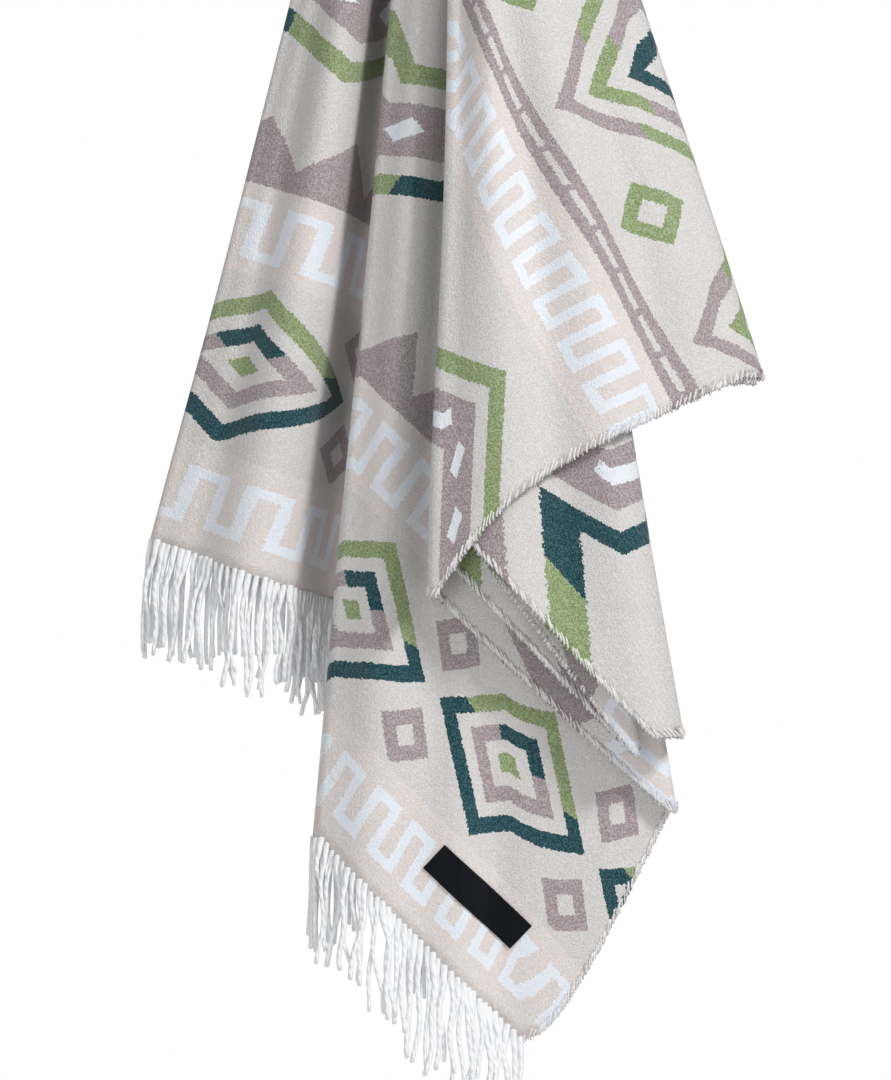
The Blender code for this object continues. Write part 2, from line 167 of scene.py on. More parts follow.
# Loose billows, wrinkles and sway, which start below the gathered neck, and the lean of
# the flap's left edge between two heights. The scales are in waves to a metre.
LOOSE_BELOW = 0.1
LOOSE_OVER = 0.6
BILLOW = 0.006
BILLOW_SCALE = (5.0, 2.6)
WRINKLE = 0.0011
WRINKLE_SCALE = (24.0, 15.0)
WRINKLE_PER_LAYER = 0.8
SWAY = 0.004
SWAY_SCALE = 3.2
EDGE_LEAN = 0.013
EDGE_X = 0.004
EDGE_GIVES_WITHIN = 0.03
LEAN_FOOT, LEAN_FOOT_OVER = -0.80, 0.45
LEAN_TOP, LEAN_TOP_OVER = -0.06, 0.25
LEAST_TOP_ROUND = 0.7

# A ray is one line of the cloth from the hang point to its edge.
Ray = namedtuple("Ray", "cloth reach view top_x side_x top_y depth layer woven")


def blend(start, end, share):
    return start + (end - start) * share


def smooth(share):
    share = min(max(share, 0.0), 1.0)
    return share * share * (3 - 2 * share)


def plain_reach(cloth_angle):
    """Distance on the flat cloth from its middle to its edge."""
    turn = math.radians(cloth_angle)
    return min(HALF_LENGTH / max(abs(math.cos(turn)), 1e-6),
               HALF_WIDTH / max(abs(math.sin(turn)), 1e-6))


def stack_depth(layer):
    """Depth of a layer where the cloth is drawn together at the top."""
    middle = max(fold.layer for fold in FOLDS) / 2
    return (layer - middle) * LAYER_PITCH_AT_TOP


def side_round(rounds, share):
    """How far a turn round the side reaches out, eased between its rows."""
    for (near, low), (far, high) in zip(rounds, rounds[1:]):
        if share <= far:
            return blend(low, high, smooth((share - near) / (far - near)))
    return rounds[-1][1]


def fold_and_after(index):
    """A pass, the one after it, and the full turn that comes off the angles past the last."""
    after_index = (index + 1) % len(FOLDS)
    return FOLDS[index], FOLDS[after_index], 0 if after_index else 360


def rays_of_fold(index):
    """The rays across one pass of cloth and round the fold at its end."""
    fold, after, full_turn = fold_and_after(index)
    end_cloth = after.cloth - full_turn
    joined = after.layer == fold.layer
    step = SHOWN_STEP if fold.shown else HIDDEN_STEP
    count = max(3, round(math.radians(abs(after.view - fold.view)) * MEAN_REACH / step))
    rays = []
    for column in range(count + (0 if joined else 1)):
        share = column / count
        bow = fold.bow * math.sin(math.pi * share) + fold.wave * math.sin(3 * math.pi * share)
        cloth = blend(fold.cloth, end_cloth, share)
        stretch = (blend(fold.stretch, after.stretch, share)
                   * (1 - fold.slack * (share - share ** 6)))
        rays.append(Ray(cloth, plain_reach(cloth) * stretch,
                        blend(fold.view, after.view, share), 0.0, 0.0, stack_depth(fold.layer),
                        blend(fold.depth, fold.end_depth, share) + bow, fold.layer, cloth))
    if joined:
        return rays
    outward = 1 if after.view > fold.view else -1
    rounds = SIDE_ROUNDS.get(fold.name)
    steps = STEPS_ROUND_SIDE if rounds else STEPS_ROUND_TURN
    for number in range(1, steps):
        share = number / steps
        if rounds:
            reach_out = side_round(rounds, share)
            top_out = max(reach_out, LEAST_TOP_ROUND)
        else:
            reach_out = top_out = math.sin(math.pi * share)
            share = (1 - math.cos(math.pi * share)) / 2
        rays.append(Ray(end_cloth, plain_reach(end_cloth) * after.stretch, after.view,
                        outward * fold.top_turn * top_out, outward * fold.turn * reach_out,
                        blend(stack_depth(fold.layer), stack_depth(after.layer), share),
                        blend(fold.end_depth, after.depth, share),
                        blend(fold.layer, after.layer, share), end_cloth))
    return rays


def crease_depth(ray, radius):
    """The soft creases at an angle and a distance from the top. The layers behind follow
    them, less and less."""
    depth = 0.0
    for crease in CREASES:
        behind = ray.layer - crease.layer
        if -0.5 < behind < LAYERS_THAT_FOLLOW:
            middle = blend(crease.top_view, crease.edge_view, radius)
            away = (ray.view - middle) / crease.half_width
            shown = (smooth((radius - crease.start) / CREASE_STARTS_OVER)
                     * smooth((crease.end - radius) / CREASE_ENDS_OVER))
            followed = 1 - max(behind, 0) / LAYERS_THAT_FOLLOW
            depth += crease.height * math.exp(-away * away) * shown * followed
    return depth


def lean_at(x, z):
    """The flap's left edge leans out at the top, and the cloth beside it gives way."""
    shown = smooth((z - LEAN_FOOT) / LEAN_FOOT_OVER) * smooth((LEAN_TOP - z) / LEAN_TOP_OVER)
    return EDGE_LEAN * shown * math.exp(-((x - EDGE_X) / EDGE_GIVES_WITHIN) ** 2)


def cloth_point(ray, radius):
    """A point of the hanging cloth: on its ray, with the billow that all layers share."""
    view = math.radians(ray.view)
    x = radius * math.sin(view) + blend(ray.top_x, ray.side_x, radius)
    z = -radius * math.cos(view)
    loose = smooth((radius - LOOSE_BELOW) / LOOSE_OVER)
    across, down = BILLOW_SCALE
    billow = BILLOW * loose * noise.noise(Vector((x * across, 0.7, z * down)))
    across, down = WRINKLE_SCALE
    layer = ray.layer * WRINKLE_PER_LAYER
    wrinkle = WRINKLE * loose * noise.noise(Vector((x * across, layer, z * down)))
    sway = SWAY * loose * noise.noise(Vector((1.3, 5.1, z * SWAY_SCALE)))
    depth = blend(ray.top_y, ray.depth, radius) + crease_depth(ray, radius)
    return Vector((x + (sway + lean_at(x, z)), depth + billow + wrinkle, z))


def ray_distances(rays, reach_share):
    """Each ray's distance from the first, measured over the cloth at a share of its reach."""
    points = [cloth_point(ray, reach_share * ray.reach) for ray in rays]
    gaps = [(far - near).length for near, far in zip(points, points[1:])]
    return list(accumulate(gaps, initial=0.0))


def woven_fold(index):
    """The rays of one pass and its turn, with the weave shared out evenly over them."""
    fold, after, full_turn = fold_and_after(index)
    rays = rays_of_fold(index)
    distances = ray_distances(rays + rays_of_fold(FOLDS.index(after))[:1], MEAN_REACH)
    whole = distances[-1]
    start, at_fold = WOVEN_ANGLES.get(fold.name, (fold.cloth, None))
    end = WOVEN_ANGLES.get(after.name, (after.cloth, None))[0] - full_turn
    pass_end = max(distance for ray, distance in zip(rays, distances) if ray.side_x == 0)
    woven = []
    for ray, distance in zip(rays, distances):
        if at_fold is None or after.layer == fold.layer:
            angle = blend(start, end, distance / whole)
        elif distance <= pass_end:
            angle = blend(start, at_fold, distance / pass_end)
        else:
            angle = blend(at_fold, end, (distance - pass_end) / (whole - pass_end))
        woven.append(ray._replace(woven=angle))
    return woven


RAYS = [ray for index in range(len(FOLDS)) for ray in woven_fold(index)]


def cloth_place(ray, radius):
    """The same point on the flat cloth, from its middle: across it and along it."""
    turn = math.radians(ray.woven)
    flat_radius = radius / ray.reach * plain_reach(ray.woven)
    return flat_radius * math.sin(turn), flat_radius * math.cos(turn)


def placed_grid(work, across, along, place):
    """A grid of faces with each corner moved to its place. Returns the corners' spots."""
    made = bmesh.ops.create_grid(work, x_segments=across, y_segments=along, size=0.5)
    spots = {}
    for corner in made["verts"]:
        spot = (round((corner.co.x + 0.5) * across), round((corner.co.y + 0.5) * along))
        corner.co = place(*spot)
        spots[corner] = spot
    return spots


def set_map(layer, spots, value):
    """Writes a map's value at each corner of the grid."""
    for corner, spot in spots.items():
        where = value(*spot)
        for loop in corner.link_loops:
            loop[layer].uv = where


def new_piece(name, work, finish):
    """Ends a bmesh as an object that rides with the throw, smooth and facing out."""
    mesh = bpy.data.meshes.new(name)
    work.to_mesh(mesh)
    work.free()
    mesh.shade_smooth()
    piece = bpy.data.objects.new(name, mesh)
    bpy.context.scene.collection.objects.link(piece)
    mesh.materials.append(finish)
    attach(piece, "root")
    return piece


class Signal:
    """A value that varies over a surface. Arithmetic on it adds Math nodes."""

    def __init__(self, finish, socket):
        self.finish = finish
        self.socket = socket

    def __add__(self, other):
        return self.finish.maths("ADD", self, other)

    __radd__ = __add__

    def __sub__(self, other):
        return self.finish.maths("SUBTRACT", self, other)

    def __rsub__(self, other):
        return self.finish.maths("SUBTRACT", other, self)

    def __mul__(self, other):
        return self.finish.maths("MULTIPLY", self, other)

    __rmul__ = __mul__

    def __truediv__(self, other):
        return self.finish.maths("DIVIDE", self, other)

    def __gt__(self, other):
        return self.finish.maths("GREATER_THAN", self, other)

    def __lt__(self, other):
        return self.finish.maths("LESS_THAN", self, other)

    def __abs__(self):
        return self.finish.maths("ABSOLUTE", self)

    def between(self, low, high):
        return self.finish.maths("COMPARE", self, (low + high) / 2, (high - low) / 2)

    def repeat(self, period):
        """Distance from the middle of each repeat, from 0 to half the period."""
        return abs(self.finish.maths("FRACT", self / period) - 0.5) * period

    def either(self, other):
        return self.finish.maths("MAXIMUM", self, other)


class Finish:
    """One material: a Principled shader and the nodes that vary it."""

    def __init__(self, name, **constants):
        self.material = bpy.data.materials.new(name)
        self.material.use_nodes = True
        self.tree = self.material.node_tree
        self.shader = self.tree.nodes["Principled BSDF"]
        for socket, value in constants.items():
            self.shader.inputs[socket.replace("_", " ")].default_value = value

    def node(self, kind, settings, inputs, output=0):
        node = self.tree.nodes.new(kind)
        for key, value in settings.items():
            setattr(node, key, value)
        for key, value in inputs.items():
            if isinstance(value, Signal):
                self.tree.links.new(value.socket, node.inputs[key])
            else:
                node.inputs[key].default_value = value
        return Signal(self, node.outputs[output])

    def maths(self, operation, *values):
        return self.node("ShaderNodeMath", {"operation": operation}, dict(enumerate(values)))

    def map(self, name):
        """A map's two values as signals."""
        where = self.node("ShaderNodeUVMap", {"uv_map": name}, {})
        return [self.node("ShaderNodeSeparateXYZ", {}, {0: where}, output) for output in (0, 1)]

    def place(self):
        """The place on the object, in metres."""
        return self.node("ShaderNodeTexCoord", {}, {}, output=3)

    def point(self, x, y, z=0.0):
        return self.node("ShaderNodeCombineXYZ", {}, {0: x, 1: y, 2: z})

    def cloud(self, where, scale, detail=2.0):
        return self.node("ShaderNodeTexNoise", {}, {"Vector": where, "Scale": scale,
                                                    "Detail": detail})

    def mix(self, share, colour, other):
        return self.node("ShaderNodeMix", {"data_type": "RGBA"}, {0: share, 6: colour, 7: other},
                         output=2)

    def bump(self, height, distance, strength=1.0):
        return self.node("ShaderNodeBump", {}, {"Height": height, "Distance": distance,
                                                "Strength": strength})

    def feed(self, **links):
        for socket, value in links.items():
            self.tree.links.new(value.socket, self.shader.inputs[socket.replace("_", " ")])
        return self.material


def linear(red, green, blue):
    """A colour from its 8-bit values, as the shader takes it."""
    values = [value / 255 for value in (red, green, blue)]
    return (*[v / 12.92 if v <= 0.04045 else ((v + 0.055) / 1.055) ** 2.4 for v in values], 1.0)


CREAM = linear(219, 215, 212)
PEACH = linear(230, 220, 215)
WHITE = linear(238, 243, 251)
MAUVE = linear(172, 157, 160)
OLIVE = linear(146, 165, 110)
TEAL = linear(4, 74, 82)
SOFT_WOOL = {"Sheen_Weight": 0.2, "Sheen_Roughness": 0.6, "Specular_IOR_Level": 0.12}
SPECK_SCALE = 900.0
TWILL_SCALE = 3900
LIGHT_SPECKS_OVER, LIGHT_SPECKS, LIGHT_SPECKS_PER_TONE = 0.54, 0.04, 0.42
DARK_SPECKS_UNDER, DARK_SPECKS, DARK_SPECKS_PER_TONE = 0.46, 0.40, 0.48

# The pattern's sizes, in millimetres. Rows lie between two distances from the fringed
# end, repeats run across the cloth, and rings are shares of a lozenge's half size.
RAGGED = 3.4
RAGGED_SCALES = (520.0, 560.0)
PEACH_BANDS = ((0, 71), (190, 250), (502, 564))
MEANDER_ROWS = ((18, 57), (200, 239), (514, 553))
MEANDER_PERIOD = 32.0
MEANDER_LINE = 6.6

SPLIT_ROW = (75, 186)
SPLIT_PERIOD = 150.0
SPLIT_MIDDLE = 130.5
SPLIT_HALF_SIZE = (68.0, 54.0)
SPLIT_OUTER_RING, SPLIT_OUTER_SLANT = (0.76, 1.0), 0.25
SPLIT_INNER_RING, SPLIT_INNER_SLANT = (0.33, 0.56), 0.8
SPLIT_HEART = 0.14
BESIDE_SPLIT_OFFSET = 36.0
BESIDE_SPLIT_HALF_SIZE = (22.0, 22.0)
BESIDE_SPLIT_EYE = 0.4

TEETH_ROW = (250, 300)
TEETH_FOOT = 264.0
TEETH_PERIOD = 44.0
TEETH_STEEPNESS = 1.5

ZIGZAG_ROW = (304, 498)
ZIGZAG_MIDDLE = 380.0
ZIGZAG_PERIOD = 140.0
ZIGZAG_STEEPNESS = 0.66
ZIGZAG_HALF_WIDTH = 20
JEWEL_PERIOD = 35.0
JEWEL_HALF_SIZE = (10.0, 10.0)
CHEVRON_NEAR, CHEVRON_FAR = 34, 49
CHEVRON_TEAL_ABOVE = 22

DOUBLE_LINE_ROW = (564, 582)
DASH_ROW = (571, 575.2)
DASH_PERIOD = 30.0
DASH_HALF_LENGTH = 12.8

NESTED_FROM = 590
NESTED_PERIOD = 172.0
NESTED_MIDDLE = 676.0
NESTED_HALF_SIZE = (80.0, 84.0)
NESTED_OUTER_RING, NESTED_OUTER_WAIST = (0.84, 1.0), 40
NESTED_INNER_RING, NESTED_INNER_WAIST = (0.52, 0.68), 26
NESTED_HEART_RING = (0.20, 0.36)
BESIDE_NESTED_OFFSET = 62.0
BESIDE_NESTED_HALF_SIZE = (24.0, 22.0)
BESIDE_NESTED_EYE = 0.45


def lozenge(across, along, half_size):
    """0 at a lozenge's middle and 1 on its edge."""
    half_across, half_along = half_size
    return across / half_across + abs(along) / half_along


def meander_borders(finish, colour, across, rise):
    """Peach bands, each with a white meander."""
    for low, high in PEACH_BANDS:
        colour = finish.mix(rise.between(low, high), colour, PEACH)
    stroke = across.repeat(MEANDER_PERIOD)
    quarter, half_line = MEANDER_PERIOD / 4, MEANDER_LINE / 2
    upright = stroke.between(quarter - half_line, quarter + half_line)
    for low, high in MEANDER_ROWS:
        crown = (stroke < quarter + half_line) * rise.between(high - MEANDER_LINE, high)
        foot = (stroke > quarter - half_line) * rise.between(low, low + MEANDER_LINE)
        meander = (upright * rise.between(low, high)).either(crown).either(foot)
        colour = finish.mix(meander, colour, WHITE)
    return colour


def split_lozenges(finish, colour, across, rise):
    """Lozenges between the first two borders. A slanting line splits each ring in two
    colours, and small open lozenges fill the corners between them."""
    row = rise.between(*SPLIT_ROW)
    side = across.repeat(SPLIT_PERIOD)
    height = rise - SPLIT_MIDDLE
    share = lozenge(side, height, SPLIT_HALF_SIZE)
    outer = share.between(*SPLIT_OUTER_RING) * row
    colour = finish.mix(outer, colour, OLIVE)
    colour = finish.mix(outer * (height - side * SPLIT_OUTER_SLANT < 0), colour, TEAL)
    inner = share.between(*SPLIT_INNER_RING) * row
    colour = finish.mix(inner, colour, MAUVE)
    colour = finish.mix(inner * (height - side * SPLIT_INNER_SLANT > 0), colour, TEAL)
    colour = finish.mix((share < SPLIT_HEART) * row, colour, OLIVE)
    beside = lozenge(SPLIT_PERIOD / 2 - side, abs(height) - BESIDE_SPLIT_OFFSET,
                     BESIDE_SPLIT_HALF_SIZE)
    colour = finish.mix((beside < 1.0) * row, colour, MAUVE)
    return finish.mix((beside < BESIDE_SPLIT_EYE) * row, colour, CREAM)


def saw_teeth(finish, colour, across, rise):
    """Mauve teeth that stand on a border."""
    slope = rise - TEETH_FOOT - across.repeat(TEETH_PERIOD) * TEETH_STEEPNESS
    teeth = rise.between(*TEETH_ROW) * (1 - (slope > 0))
    return finish.mix(teeth, colour, MAUVE)


def jewelled_zigzag(finish, colour, across, rise):
    """A mauve zigzag set with small white lozenges, between olive and teal chevrons."""
    row = rise.between(*ZIGZAG_ROW)
    swing = across.repeat(ZIGZAG_PERIOD) * ZIGZAG_STEEPNESS
    height = rise - ZIGZAG_MIDDLE - swing
    band = height.between(-ZIGZAG_HALF_WIDTH, ZIGZAG_HALF_WIDTH)
    colour = finish.mix(band * row, colour, MAUVE)
    jewel = lozenge(across.repeat(JEWEL_PERIOD), height, JEWEL_HALF_SIZE) < 1.0
    colour = finish.mix(jewel * row, colour, WHITE)
    over = height.between(CHEVRON_NEAR, CHEVRON_FAR) * row
    under = height.between(-CHEVRON_FAR, -CHEVRON_NEAR) * row
    colour = finish.mix(over, colour, OLIVE)
    colour = finish.mix(under, colour, OLIVE)
    return finish.mix(under * (swing > CHEVRON_TEAL_ABOVE), colour, TEAL)


def dashed_lines(finish, colour, across, rise):
    """A pair of mauve lines with cream dashes between them."""
    colour = finish.mix(rise.between(*DOUBLE_LINE_ROW), colour, MAUVE)
    dashes = rise.between(*DASH_ROW) * (across.repeat(DASH_PERIOD) < DASH_HALF_LENGTH)
    return finish.mix(dashes, colour, CREAM)


def nested_lozenges(finish, colour, across, rise):
    """Three lozenges one in another, in the cloth's middle field. The colours of the
    outer two change places at the waist, and small open ones stand between them."""
    field = rise > NESTED_FROM
    side = across.repeat(NESTED_PERIOD)
    height = abs(rise - NESTED_MIDDLE)
    share = lozenge(side, height, NESTED_HALF_SIZE)
    outer = share.between(*NESTED_OUTER_RING) * field
    colour = finish.mix(outer, colour, MAUVE)
    colour = finish.mix(outer * (height < NESTED_OUTER_WAIST), colour, OLIVE)
    inner = share.between(*NESTED_INNER_RING) * field
    colour = finish.mix(inner, colour, OLIVE)
    colour = finish.mix(inner * (height < NESTED_INNER_WAIST), colour, MAUVE)
    colour = finish.mix(share.between(*NESTED_HEART_RING) * field, colour, TEAL)
    beside = lozenge(NESTED_PERIOD / 2 - side, height - BESIDE_NESTED_OFFSET,
                     BESIDE_NESTED_HALF_SIZE)
    colour = finish.mix((beside < 1.0) * field, colour, OLIVE)
    return finish.mix((beside < BESIDE_NESTED_EYE) * field, colour, CREAM)


def pattern_colour(finish):
    """The woven pattern on cream, the same from both ends, with softly ragged edges."""
    across, along = finish.map("cloth")
    here = finish.place()
    across, along = (value * 1000 + (finish.cloud(here, scale, 1.0) - 0.5) * RAGGED
                     for value, scale in zip((across, along), RAGGED_SCALES))
    rise = HALF_LENGTH * 1000 - abs(along)
    colour = CREAM
    for motif in (meander_borders, split_lozenges, saw_teeth, jewelled_zigzag, dashed_lines,
                  nested_lozenges):
        colour = motif(finish, colour, across, rise)
    return colour


def woven_finish():
    """Brushed twill: pale specks where the warp shows, dark ones between the threads, and
    a faint unevenness over the whole."""
    finish = Finish("woven_cloth", Roughness=0.94, **SOFT_WOOL)
    colour = pattern_colour(finish)
    here = finish.place()
    across, along = finish.map("cloth")
    twill = finish.maths("SINE", (across + along) * TWILL_SCALE)
    speck = finish.cloud(here, SPECK_SCALE, 2.0) + twill * 0.04
    tone = finish.node("ShaderNodeRGBToBW", {}, {0: colour})
    light = (speck > LIGHT_SPECKS_OVER) * (tone * LIGHT_SPECKS_PER_TONE + LIGHT_SPECKS)
    colour = finish.mix(light, colour, WHITE)
    dark = (speck < DARK_SPECKS_UNDER) * (DARK_SPECKS - tone * DARK_SPECKS_PER_TONE)
    colour = finish.mix(dark, colour, linear(26, 32, 36))
    uneven = finish.cloud(here, 26.0, 3.0)
    colour = finish.mix((uneven - 0.42) * 0.12, colour, linear(128, 118, 114))
    height = speck * 0.9 + finish.cloud(here, 260.0, 2.0) * 0.6
    return finish.feed(Base_Color=colour, Normal=finish.bump(height, 0.0012, 0.8))


def hung_cloth():
    """The pleated cloth from its neck to its edge, on one grid of rays and rows."""
    work = bmesh.new()
    count = len(RAYS)

    def spot_radius(ray, row):
        return blend(NECK_RADIUS, ray.reach, row / ROWS_DOWN)

    spots = placed_grid(work, count, ROWS_DOWN, lambda column, row: cloth_point(
        RAYS[column % count], spot_radius(RAYS[column % count], row)))
    layer = work.loops.layers.uv.new("cloth")
    set_map(layer, spots, lambda column, row: cloth_place(
        RAYS[column % count], spot_radius(RAYS[column % count], row)))
    bmesh.ops.remove_doubles(work, verts=work.verts, dist=1e-6)
    bmesh.ops.recalc_face_normals(work, faces=work.faces)
    piece = new_piece("hung_cloth", work, woven_finish())
    wall = piece.modifiers.new("thickness", "SOLIDIFY")
    wall.thickness = CLOTH_THICKNESS
    wall.offset = 0.0
    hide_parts("blanket_cloth")
    return piece


cloth = hung_cloth()

# The gathered top: the middle of the cloth, drawn together where it is held up. It is
# the same cloth, rounded over and fluted where the pleats begin.
GATHER_MIDDLE = (0.005, 0.0)
GATHER_HALF_SIZE = (0.0215, 0.0425)
GATHER_LEVELS = ((0.0, 0.0), (-0.001, 0.24), (-0.005, 0.52), (-0.013, 0.76), (-0.026, 0.91),
                 (-0.044, 0.99), (-0.060, 0.88), (-0.078, 0.62))
GATHER_FLUTES = 17
GATHER_FLUTE_DEPTHS = (0.035, 0.085)
GATHER_FLUTES_OVER = 0.05
GATHER_SQUARENESS = 0.6
GATHER_FULLNESS = 1.3
GATHER_SIDES = 132
GATHER_ROWS = 28


def gathered_top():
    """The knob of cloth above the pleats, on one grid round it and down it."""
    work = bmesh.new()

    def level(row):
        share = row / GATHER_ROWS * (len(GATHER_LEVELS) - 1)
        near = min(int(share), len(GATHER_LEVELS) - 2)
        return [blend(low, high, share - near)
                for low, high in zip(GATHER_LEVELS[near], GATHER_LEVELS[near + 1])]

    def place(column, row):
        height, size = level(row)
        turn = 2 * math.pi * column / GATHER_SIDES
        deep = blend(*GATHER_FLUTE_DEPTHS, smooth(-height / GATHER_FLUTES_OVER))
        flute = 1 + deep * size * math.cos(GATHER_FLUTES * turn + 1.3 * math.sin(3 * turn))
        reach = [half * size * flute * math.copysign(abs(share) ** GATHER_SQUARENESS, share)
                 for half, share in zip(GATHER_HALF_SIZE, (math.cos(turn), math.sin(turn)))]
        return Vector((GATHER_MIDDLE[0] + reach[0], GATHER_MIDDLE[1] + reach[1], height))

    spots = placed_grid(work, GATHER_SIDES, GATHER_ROWS, place)
    layer = work.loops.layers.uv.new("cloth")
    set_map(layer, spots, lambda column, row: tuple(
        GATHER_FULLNESS * value for value in place(column, row).xy))
    bmesh.ops.remove_doubles(work, verts=work.verts, dist=1e-6)
    bmesh.ops.recalc_face_normals(work, faces=work.faces)
    return new_piece("gathered_top", work, cloth.data.materials[0])


gather = gathered_top()

# The fringe: each end's warp threads are left long and twisted into soft cords, some
# eighty millimetres long. They hang straight down from the hem, uneven and crossing.
STRAND_PITCH = 0.0054
STRAND_LENGTH = 0.083
STRAND_RADIUS = 0.0018
STRAND_ROOT_SWELL = 0.35
STRAND_TAPER = 0.22
STRAND_LEAN = 0.0055
STRAND_FORWARD = 0.003
STRAND_LENGTHS = (0.82, 1.08)
STRAND_ROOTS = (0.0010, 0.0025)
STRAND_WAVES = (0.0008, 0.0020)
STRAND_WAVE_TURNS = ((3.0, 5.0), (7.0, 11.0))
STRAND_SETTLES_OVER = 0.03
BLUNT_ROOT, BLUNT_TIP = 0.12, 0.15
STRAND_SIDES = 8
STRAND_STEPS = 14
YARN_PLIES = 2
YARN_TWIST = 75
SHOWN_LAYERS = (6, 8)
STRAY_WHERE_HIDDEN = 0.25
FIRST_END = (CORNER, -CORNER)
SECOND_END = (CORNER - 180, -180 - CORNER)


def edge_line(keep):
    """The rays along one stretch of the edge, with their distances along it."""
    first = RAYS[0]
    again = first._replace(cloth=first.cloth - 360, woven=first.woven - 360)
    rays = [ray for ray in RAYS + [again] if keep(ray)]
    return rays, ray_distances(rays, 1.0)


def along_line(rays, distances, distance):
    """The pair of rays beside a place on the edge, and the share between them."""
    index = 0
    while index < len(rays) - 2 and distances[index + 1] < distance:
        index += 1
    length = max(distances[index + 1] - distances[index], 1e-9)
    return rays[index], rays[index + 1], min(max((distance - distances[index]) / length, 0), 1)


def edge_point(place, drop):
    ray, after, share = place
    return cloth_point(ray, ray.reach + drop).lerp(cloth_point(after, after.reach + drop), share)


def tubes(work, paths, radii, sides):
    """Round strands along paths with as many steps each. Returns the corners' spots: the
    way round the strand, and the step, counted on from strand to strand."""
    steps = len(paths[0])
    frames = []
    for path in paths:
        for index in range(steps):
            ahead = path[min(index + 1, steps - 1)] - path[max(index - 1, 0)]
            side = ahead.normalized().cross(Vector((0.0, 1.0, 0.0))).normalized()
            frames.append((side, ahead.normalized().cross(side)))

    def place(column, row):
        turn = 2 * math.pi * column / sides
        side, front = frames[row]
        radius = radii[row // steps][row % steps]
        round_it = side * math.cos(turn) + front * math.sin(turn)
        return paths[row // steps][row % steps] + round_it * radius

    spots = placed_grid(work, sides, len(paths) * steps - 1, place)
    between = [face for face in work.faces
               if min(spots[corner][1] for corner in face.verts) % steps == steps - 1]
    bmesh.ops.delete(work, geom=between, context="FACES")
    return {corner: spot for corner, spot in spots.items() if corner.is_valid}


def yarn_finish():
    """Soft white cotton and wool yarn, with its twist as slanting ridges and painted shade in the
    grooves between them.
    """
    finish = Finish("fringe_yarn", Roughness=0.92, **SOFT_WOOL)
    round_it, length = finish.map("yarn")
    here = finish.place()
    twist = finish.maths("SINE", round_it * (2 * math.pi * YARN_PLIES) + length * YARN_TWIST)
    fuzz = finish.cloud(here, SPECK_SCALE, 2.0)
    shade = finish.cloud(here, 90.0, 2.0)
    colour = finish.mix(shade, linear(246, 248, 251), linear(255, 255, 255))
    # Painted shade: the white yarn is greyed in the grooves of its twist.
    colour = finish.mix((twist < -0.5) * 0.12, colour, linear(204, 208, 214))
    colour = finish.mix((fuzz < 0.42) * 0.08, colour, linear(196, 200, 206))
    return finish.feed(Base_Color=colour,
                       Normal=finish.bump(twist * 0.35 + fuzz * 0.7, 0.0008, 0.8))


def strand_path(place, chance):
    """One strand: out of the hem along the cloth, then down, with its own bends."""
    root = edge_point(place, -chance.uniform(*STRAND_ROOTS))
    along = (edge_point(place, 0.01) - root).normalized()
    length = STRAND_LENGTH * chance.uniform(*STRAND_LENGTHS)
    stray = 1.0 if place[0].layer in SHOWN_LAYERS else STRAY_WHERE_HIDDEN
    lean = chance.gauss(0.0, STRAND_LEAN) * stray
    forward = chance.uniform(-STRAND_FORWARD, STRAND_FORWARD) * stray
    waves = [(chance.uniform(*STRAND_WAVES) * stray, chance.uniform(0.0, 2 * math.pi), turns)
             for turns in [chance.uniform(*limits) for limits in STRAND_WAVE_TURNS]]
    path = []
    for step in range(STRAND_STEPS):
        share = step / (STRAND_STEPS - 1)
        drop = share * length
        bend = lean * share * share
        for size, phase, turns in waves:
            bend += size * (math.sin(phase + turns * share) - math.sin(phase)) * smooth(share * 3)
        side = along.x * STRAND_SETTLES_OVER * (1 - math.exp(-drop / STRAND_SETTLES_OVER))
        path.append(root + Vector((side + bend, along.y * drop + forward * share, -drop)))
    path[1] = path[0].lerp(path[1], BLUNT_ROOT)
    path[-1] = path[-2].lerp(path[-1], BLUNT_TIP)
    return path


def fringe(name, end, node, seed):
    """The strands of one end, each with its own length, thickness and bends."""
    chance = random.Random(seed)
    first, last = end
    rays, distances = edge_line(lambda ray: last - 1e-6 <= ray.cloth <= first + 1e-6)
    paths = []
    radii = []
    distance = STRAND_PITCH / 2
    while distance < distances[-1]:
        paths.append(strand_path(along_line(rays, distances, distance), chance))
        thick = STRAND_RADIUS * chance.uniform(0.8, 1.2)
        shares = [step / (STRAND_STEPS - 2) for step in range(STRAND_STEPS - 2)]
        swells = [1 + STRAND_ROOT_SWELL * (1 - smooth(share * 6)) for share in shares]
        radii.append([0.0, *(thick * swell * (1 - STRAND_TAPER * share)
                             for swell, share in zip(swells, shares)), 0.0])
        distance += STRAND_PITCH * chance.uniform(0.8, 1.2)
    work = bmesh.new()
    spots = tubes(work, paths, radii, STRAND_SIDES)
    layer = work.loops.layers.uv.new("yarn")
    set_map(layer, spots, lambda column, row: (
        column / STRAND_SIDES, row % STRAND_STEPS / STRAND_STEPS))
    bmesh.ops.remove_doubles(work, verts=work.verts, dist=1e-7)
    bmesh.ops.recalc_face_normals(work, faces=work.faces)
    piece = new_piece(name, work, yarn)
    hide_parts(node)
    return piece


yarn = yarn_finish()
first_fringe = fringe("first_fringe", FIRST_END, "fringe_first_end", 3)
second_fringe = fringe("second_fringe", SECOND_END, "fringe_second_end", 4)

# The whip stitch: short loops of yarn that bind both selvedges, white by turns with the
# colour of the cloth beside them, brushed and frayed at the edge.
STITCH_PITCH = 0.00165
STITCH_RADIUS = 0.00078
STITCH_SIDES = 4
STITCH_BITE = 0.0058
STITCH_SLANT = 0.0036
STITCH_FRAY = 0.001
STITCH_STRAY = 0.0008
STITCH_WHITE = 0.95
EDGE_STEP = 0.004

